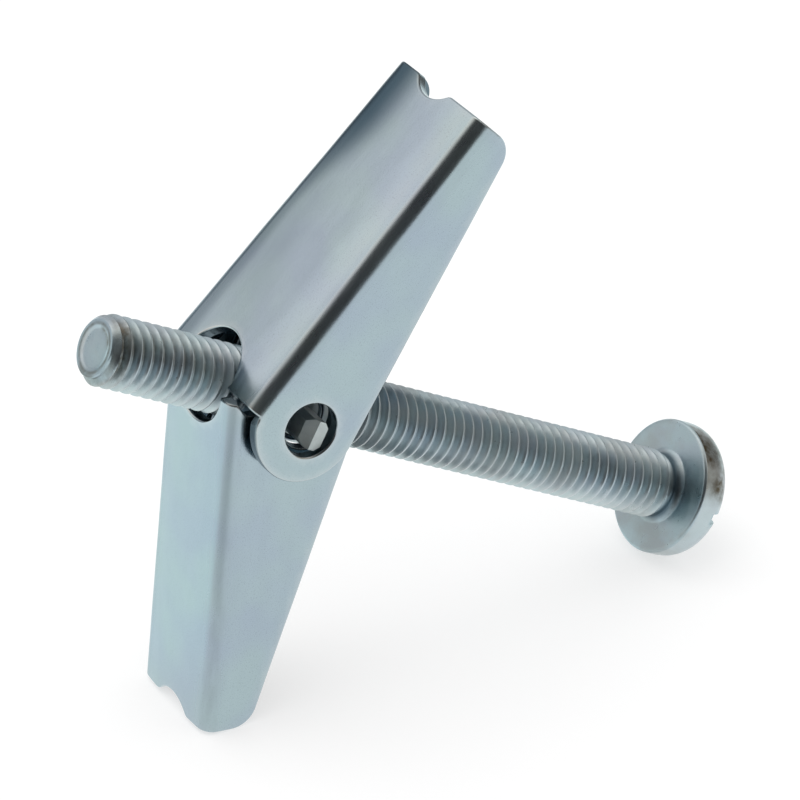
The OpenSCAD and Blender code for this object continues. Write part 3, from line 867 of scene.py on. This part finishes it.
leg_end = swung(outer, 8.5, outer.web - SHEET - WIRE_GAP - WIRE_R, OUTER_HINGE_X)
bridge_at = swung(inner, 9.0, inner.web - SHEET - WIRE_GAP - WIRE_R, 0)
coil_start = math.atan2(leg_end[1], leg_end[0]) + math.acos(COIL_R / math.hypot(*leg_end))
coil_stop = 4 * math.pi + math.atan2(bridge_at[1], bridge_at[0]) - math.acos(COIL_R / math.hypot(*bridge_at))
turn = np.linspace(coil_start, coil_stop, 150)
strand = np.linspace(OUTER_STRAND, INNER_STRAND, 150)
coil = np.stack([COIL_R * np.cos(turn), strand, COIL_R * np.sin(turn)], axis=-1)
coil_out = np.stack([np.cos(turn), 0 * turn, np.sin(turn)], axis=-1)


def wire_piece(name, wires):
    """One mesh of round wires; each is (path in mm, outward directions), in the screw's own directions."""
    points, faces = [], []
    for path, out in wires:
        away = out[:, :1] * to_head + out[:, 1:2] * across + out[:, 2:] * upward
        wire_points, wire_faces = tube(place(*path.T), away, WIRE_R * MM)
        already = sum(map(len, points))
        faces += [[k + already for k in face] for face in wire_faces]
        points.append(wire_points)
    mesh = new_mesh(name, np.concatenate(points), faces)
    mesh.set_sharp_from_angle(angle=math.radians(60))
    return new_piece(name, mesh, wire_steel)


def both_sides(path, out):
    """The wire and its mirror image across the screw."""
    return [(path, out), (path * (1, -1, 1), out * (1, -1, 1))]


coils = wire_piece("spring_coils", both_sides(coil, coil_out))
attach(coils, "nut")
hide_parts("torsion_spring")

share = np.linspace(0, 1, 24)[:, None]
leg = coil[0] + share * (np.array([leg_end[0], OUTER_STRAND, leg_end[1]]) - coil[0])
legs = wire_piece("spring_legs", both_sides(leg, np.tile(coil_out[0], (24, 1))))
place(*leg[0]).tolist()
place(*leg[6]).tolist()
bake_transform(legs)

BRIDGE_BEND = 0.9
down = np.array([-math.sin(coil_stop), 0, math.cos(coil_stop)])
corner_at = np.array([bridge_at[0], INNER_STRAND, bridge_at[1]])
straight = coil[-1] + np.linspace(0, 1, 20)[:, None] * (corner_at - BRIDGE_BEND * down - coil[-1])
bend = np.radians(np.linspace(0, 90, 10))[1:, None]
bent = corner_at - BRIDGE_BEND * (1 - np.sin(bend)) * down - BRIDGE_BEND * (1 - np.cos(bend)) * across
half = np.concatenate([straight, bent])
run = np.concatenate([half, half[::-1] * (1, -1, 1)])
bridge = wire_piece("spring_bridge", [(run, np.tile(coil_out[-1], (len(run), 1)))])
place(*straight[0]).tolist()
place(*straight[6]).tolist()
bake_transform(bridge)
print("spring: coil radius", round(COIL_R, 2), "mm,", round((coil_stop - coil_start) / math.tau, 2), "turns a side")

# %% [markdown]
# ## The floor
# The floor is a plain sheet that keeps the shadow. Bright metal shows little
# but its surroundings, so the floor has a second face, which only reflections
# see: pale near the camera, faintly green behind the bolt, and with a painted
# grey pool of shade to the left, which turns the metal's lower edges dark.

# %% Floor
FLOOR_HALF = 3.0
# The last colour is the grey of a painted pool of shade, seen only in reflections.
FLOOR_NEAR, FLOOR_FAR, FLOOR_SHADE_POOL = (0.83, 0.84, 0.84), (0.83, 0.93, 0.92), (0.40, 0.42, 0.41)
NEAR_Y, FAR_Y = -5 * MM, 15 * MM
POOL_AT, POOL_INNER, POOL_OUTER = (-80 * MM, -38 * MM, 0), 12 * MM, 53 * MM
PAINT, PAINT_MIRRORED, GLOW = (0.48, 0.48, 0.48), (0.22, 0.22, 0.22), (0.58, 0.58, 0.58)


def smooth(tree, value, start, stop):
    """The smooth S of a socket: 0 at the start and 1 at the stop."""
    node = add_node(tree, "MapRange", {"From Min": start, "From Max": stop}, interpolation_type="SMOOTHSTEP")
    tree.links.new(value, node.inputs["Value"])
    return node.outputs["Result"]


def axis_of(tree, vector, axis):
    """One component of a vector socket."""
    node = add_node(tree, "SeparateXYZ")
    tree.links.new(vector, node.inputs["Vector"])
    return node.outputs[axis]


def against(tree, operation, vector, fixed):
    """The distance or the dot product of a vector socket and a fixed vector."""
    node = add_node(tree, "VectorMath", {1: fixed}, operation=operation)
    tree.links.new(vector, node.inputs[0])
    return node.outputs["Value"]


floor_paint = bpy.data.materials.new("floor_paint")
floor_paint.use_nodes = True
floor_tree = floor_paint.node_tree
floor_shader = floor_tree.nodes["Principled BSDF"]
for key, value in (("Roughness", 1.0), ("Specular IOR Level", 0.0), ("Emission Strength", 1.0)):
    floor_shader.inputs[key].default_value = value
floor_rays = add_node(floor_tree, "LightPath")
floor_at = add_node(floor_tree, "TexCoord").outputs["Object"]
far = smooth(floor_tree, axis_of(floor_tree, floor_at, "Y"), NEAR_Y, FAR_Y)
mirrored = mix(floor_tree, "MIX", far, FLOOR_NEAR, FLOOR_FAR)
# A painted pool of shade on the floor, which only reflections see.
pool = smooth(floor_tree, against(floor_tree, "DISTANCE", floor_at, POOL_AT), POOL_OUTER, POOL_INNER)
mirrored = mix(floor_tree, "MIX", pool, mirrored, FLOOR_SHADE_POOL)
shine = mix(floor_tree, "MIX", floor_rays.outputs["Is Camera Ray"], (0.0, 0.0, 0.0), GLOW)
shine = mix(floor_tree, "MIX", floor_rays.outputs["Is Glossy Ray"], shine, mirrored)
floor_tree.links.new(shine, floor_shader.inputs["Emission Color"])
paint = mix(floor_tree, "MIX", floor_rays.outputs["Is Glossy Ray"], PAINT, PAINT_MIRRORED)
floor_tree.links.new(paint, floor_shader.inputs["Base Color"])



def stage_mesh(name, points, faces, material):
    """A mesh that belongs to the set and not to the bolt."""
    thing = bpy.data.objects.new(name, new_mesh(name, points, faces))
    thing.data.materials.append(material)
    bpy.context.scene.collection.objects.link(thing)


square = np.array([(-1, -1, 0), (1, -1, 0), (1, 1, 0), (-1, 1, 0)], float)
stage_mesh("floor", FLOOR_HALF * square, [(0, 1, 2, 3)], floor_paint)
print("the floor is", 2 * FLOOR_HALF, "m wide")

# %% [markdown]
# ## The studio
# The world is plain white for the camera and grey for soft light. What a
# reflection sees is a pale room that is a little darker low down, with six
# patches: a bright one above, a pale one at the back, and darker ones to the
# right and low at the back, which give the web, the fold and the flange of a
# wing a different grey each. Last comes the dark side, where the camera and
# its stand are: it draws the dark band along a fold, and it is lit at its rim,
# so the band has a bright edge.

# %% World
# A patch is a direction, the angles from it in degrees where the patch starts
# to fade and has gone, and its colour. x is to the right, y away, z up.
PATCHES = [
    ((-0.15, 0.20, 0.96), 12, 26, (1.6, 1.57, 1.57)),
    ((-0.476, 0.752, 0.456), 12, 35, (1.08, 1.07, 1.08)),
    ((0.62, 0.66, 0.42), 15, 55, (0.52, 0.54, 0.56)),
    ((0.80, -0.58, 0.16), 8, 30, (0.40, 0.38, 0.35)),
    ((0.91, 0.17, 0.37), 10, 32, (0.13, 0.115, 0.095)),
    ((-0.40, 0.91, 0.04), 8, 29, (0.15, 0.20, 0.25)),
]
DARK_SIDE = (-0.42, -0.75, 0.51)
RIM_TO_DARK = [
    (0.0, (1.10, 1.05, 1.02)), (0.06, (1.22, 1.12, 1.04)), (0.26, (1.18, 1.05, 0.95)), (0.44, (0.86, 0.77, 0.70)),
    (0.58, (0.36, 0.33, 0.30)), (0.70, (0.09, 0.085, 0.08)), (0.80, (0.05, 0.048, 0.046)),
]
ROOM_BY_HEIGHT = [(0.0, 0.86), (0.25, 0.98), (0.55, 1.04), (0.8, 1.0), (1.0, 0.95)]
ROOM_TINT, SOFT_LIGHT, WHITE = (1.0, 0.965, 0.97), (0.78, 0.78, 0.78), (1.0, 1.0, 1.0)

scene = bpy.context.scene
world = bpy.data.worlds.new("studio")
scene.world = world
world.use_nodes = True
sky = world.node_tree
background = sky.nodes["Background"]
rays = add_node(sky, "LightPath")
towards = add_node(sky, "TexCoord").outputs["Generated"]


def nearness(direction):
    """The cosine of the angle between where a ray goes and a direction."""
    return against(sky, "DOT_PRODUCT", towards, Vector(direction).normalized())


def cosine(angle):
    return math.cos(math.radians(angle))


seen = mix(sky, "MULTIPLY", 1.0, ROOM_TINT, ramp(sky, axis_of(sky, towards, "Z"), ROOM_BY_HEIGHT))
for direction, fades_at, gone_at, colour in PATCHES:
    within = smooth(sky, nearness(direction), cosine(gone_at), cosine(fades_at))
    seen = mix(sky, "MIX", within, seen, colour)
seen = mix(sky, "MULTIPLY", 1.0, seen, ramp(sky, nearness(DARK_SIDE), RIM_TO_DARK))
seen = mix(sky, "MIX", rays.outputs["Is Glossy Ray"], SOFT_LIGHT, seen)
seen = mix(sky, "MIX", rays.outputs["Is Camera Ray"], seen, WHITE)
sky.links.new(seen, background.inputs["Color"])
background.inputs["Strength"].default_value = 1.0
print("the studio has", len(PATCHES), "patches and a dark side")

# %% [markdown]
# ## Lamp and camera
# One broad lamp above gives the soft shadow. Reflections don't see it, because
# the studio's bright patch already stands for it. The camera is a long lens
# from the front, a little to the left, looking down.

# %% Lamp
def softbox(name, position, target, size, power):
    """A square area lamp at the position, in mm from the bolt's foot, that faces the target."""
    data = bpy.data.lights.new(name, "AREA")
    data.size, data.energy = size * MM, power
    lamp = bpy.data.objects.new(name, data)
    lamp.location = Vector(position) * MM
    lamp.rotation_mode = "QUATERNION"
    lamp.rotation_quaternion = (Vector(target) - Vector(position)).to_track_quat("-Z", "Y")
    scene.collection.objects.link(lamp)
    return lamp


lamp = softbox("top_softbox", (-120, 160, 700), (0, 0, 20), 700, 1.6)
lamp.visible_glossy = False
print("the lamp is", round(lamp.location.z / MM), "mm above the floor")

# %% Camera
AIM = (-5.924, -8.9, 28.433)
AZIMUTH, ELEVATION, ROLL, DISTANCE = -28.97, 30.75, -1.345, 375.0
LENS_MM, NEAREST, FURTHEST = 213.07, 0.01, 20
azimuth, elevation, roll = map(math.radians, (AZIMUTH, ELEVATION, ROLL))
back = Vector((
    math.sin(azimuth) * math.cos(elevation),
    -math.cos(azimuth) * math.cos(elevation),
    math.sin(elevation),
))
camera = bpy.data.objects.new("camera", bpy.data.cameras.new("camera"))
camera.data.lens = LENS_MM
camera.data.clip_start, camera.data.clip_end = NEAREST, FURTHEST
camera.location = MM * (Vector(AIM) + DISTANCE * back)
camera.rotation_mode = "QUATERNION"
level = (-back).to_track_quat("-Z", "Y")
camera.rotation_quaternion = level @ Matrix.Rotation(roll, 3, "Z").to_quaternion()
scene.collection.objects.link(camera)
scene.camera = camera
scene.view_settings.view_transform = "Standard"
print("camera at", [round(v / MM, 1) for v in camera.location])

# %% [markdown]
# ## The end
